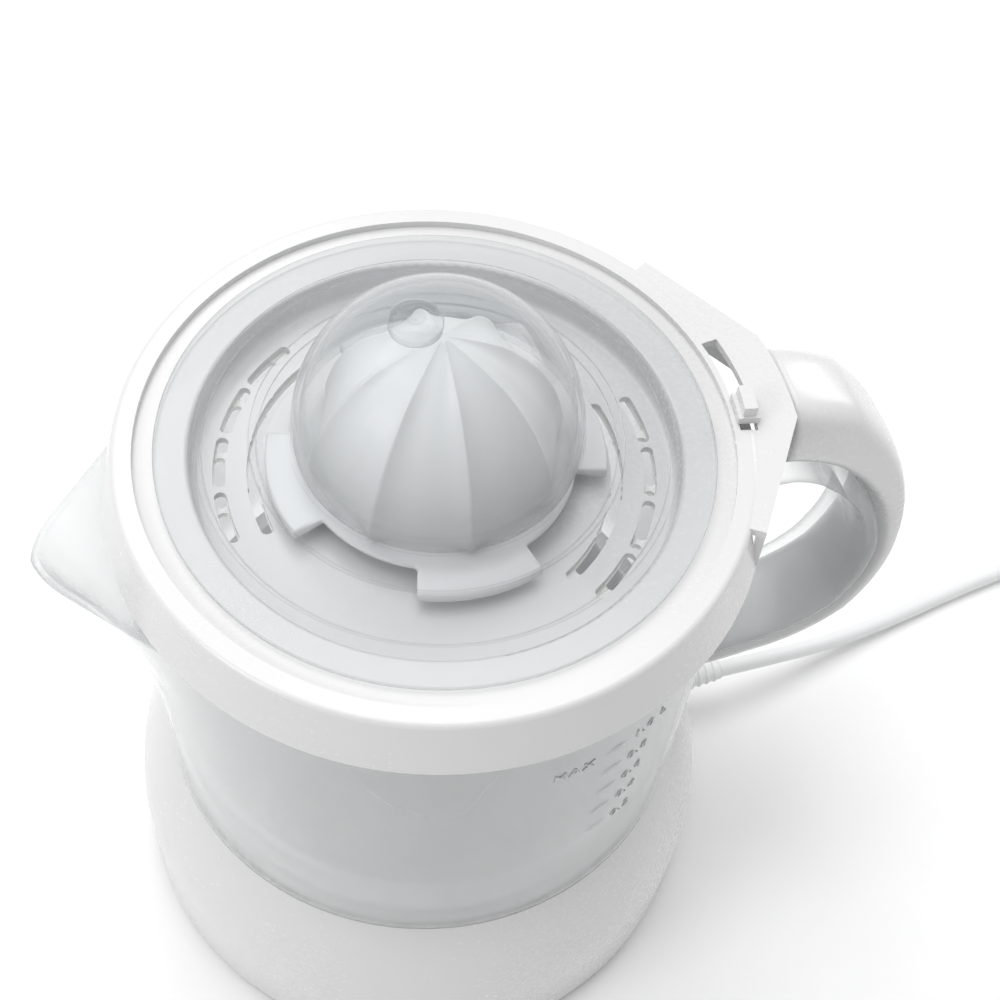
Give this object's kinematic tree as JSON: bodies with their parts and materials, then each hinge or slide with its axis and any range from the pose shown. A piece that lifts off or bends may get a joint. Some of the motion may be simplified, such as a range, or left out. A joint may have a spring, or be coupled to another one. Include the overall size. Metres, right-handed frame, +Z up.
{
  "type": "citrus press juicer",
  "caption": "Electric citrus press with a clear pouring jug, white strainer ring, ribbed reaming cone under a clear domed lid, loop handle, motor base and mains cord.",
  "frame": {"origin": "on the table under the drive axis, in the plane of the rubber feet", "axes": "+Z up along the drive axis, +X from the axis towards the jug handle, so the pouring spout is at -X"},
  "size_m": [0.4572, 0.174, 0.2354],
  "materials": {
    "white_abs": "moulded gloss, slightly warm white",
    "satin_pp": "fine satin, food-safe white",
    "clear_san": "polished clear",
    "white_pom": "machined-looking satin",
    "grey_pom": "moulded satin",
    "dark_plastic": "satin",
    "foot_rubber": "matt",
    "cord_pvc": "satin PVC",
    "screw_steel": "zinc plated",
    "shaft_steel": "ground",
    "spring_steel": "drawn",
    "core_steel": "varnished laminations",
    "winding_tape": "polyester tape",
    "bush_brass": "sintered bronze",
    "pin_brass": "nickel plated"
  },
  "bodies": {
    "base": {"base_housing": "white_abs", "base_bottom_cover": "white_abs", "cover_screws": "screw_steel", "rubber_feet": "foot_rubber", "gear_chassis": "grey_pom", "gear_plate": "grey_pom", "gear_plate_screws": "screw_steel", "motor_stator_core": "core_steel", "motor_winding": "winding_tape", "idler_pin": "shaft_steel", "lower_shaft_bush": "bush_brass", "upper_shaft_bush": "bush_brass", "micro_switch": "dark_plastic", "return_spring": "spring_steel", "strain_relief": "cord_pvc", "cord": "cord_pvc", "cord_coil": "cord_pvc", "cord_tie": "cord_pvc", "plug_body": "cord_pvc", "plug_pins": "pin_brass"},
    "thrust_cup": {"thrust_cup": "white_pom"},
    "drive_shaft": {"drive_shaft": "white_pom"},
    "output_gear": {"output_gear": "white_pom"},
    "idler_gear": {"idler_gear": "white_pom"},
    "rotor": {"motor_rotor": "core_steel", "motor_shaft_pinion": "shaft_steel"},
    "jug": {"jug": "clear_san", "handle_channel": "clear_san", "handle_cover": "white_abs"},
    "strainer": {"strainer": "white_abs"},
    "pulp_control": {"pulp_control_disc": "white_pom", "pulp_control_knob": "white_abs"},
    "small_reamer": {"small_reamer": "satin_pp"},
    "large_reamer": {"large_reamer": "satin_pp"},
    "lid": {"lid": "clear_san"}
  },
  "joints": [
    {"name": "press", "type": "slide", "parent": "base", "child": "thrust_cup", "axis": [0, 0, -1], "range_m": [0, 0.0025], "stiffness_N_per_m": 2000, "deforming": ["return_spring"]},
    {"name": "drive_spin", "type": "hinge", "parent": "thrust_cup", "child": "drive_shaft", "pos_m": [0, 0, 0], "axis": [0, 0, 1], "continuous": true},
    {"name": "output_gear_spin", "type": "hinge", "parent": "base", "child": "output_gear", "pos_m": [0, 0, 0], "axis": [0, 0, 1], "continuous": true},
    {"name": "idler_spin", "type": "hinge", "parent": "base", "child": "idler_gear", "pos_m": [-0.02653, 0.0112, 0], "axis": [0, 0, 1], "continuous": true},
    {"name": "rotor_spin", "type": "hinge", "parent": "base", "child": "rotor", "pos_m": [-0.045, 0, 0], "axis": [0, 0, 1], "continuous": true},
    {"name": "jug_lift", "type": "slide", "parent": "base", "child": "jug", "axis": [0, 0, 1], "range_m": [0, 0.13]},
    {"name": "strainer_lift", "type": "slide", "parent": "jug", "child": "strainer", "axis": [0, 0, 1], "range_m": [0, 0.06]},
    {"name": "pulp_turn", "type": "hinge", "parent": "strainer", "child": "pulp_control", "pos_m": [0, 0, 0.176], "axis": [0, 0, 1], "range_deg": [-1.2, 14.2]},
    {"name": "reamer_spin", "type": "hinge", "parent": "strainer", "child": "small_reamer", "pos_m": [0, 0, 0], "axis": [0, 0, 1], "continuous": true},
    {"name": "large_reamer_lift", "type": "slide", "parent": "small_reamer", "child": "large_reamer", "axis": [0, 0, 1], "range_m": [0, 0.06]},
    {"name": "lid_lift", "type": "slide", "parent": "strainer", "child": "lid", "axis": [0, 0, 1], "range_m": [0, 0.12]}
  ],
  "couplings": [
    {"joint": "idler_spin", "follows": "rotor_spin", "ratio": -0.2},
    {"joint": "output_gear_spin", "follows": "rotor_spin", "ratio": 0.04},
    {"joint": "drive_spin", "follows": "rotor_spin", "ratio": 0.04},
    {"joint": "reamer_spin", "follows": "rotor_spin", "ratio": 0.04},
    {"joint": "large_reamer_lift", "follows": "lid_lift", "ratio": 0.5}
  ]
}
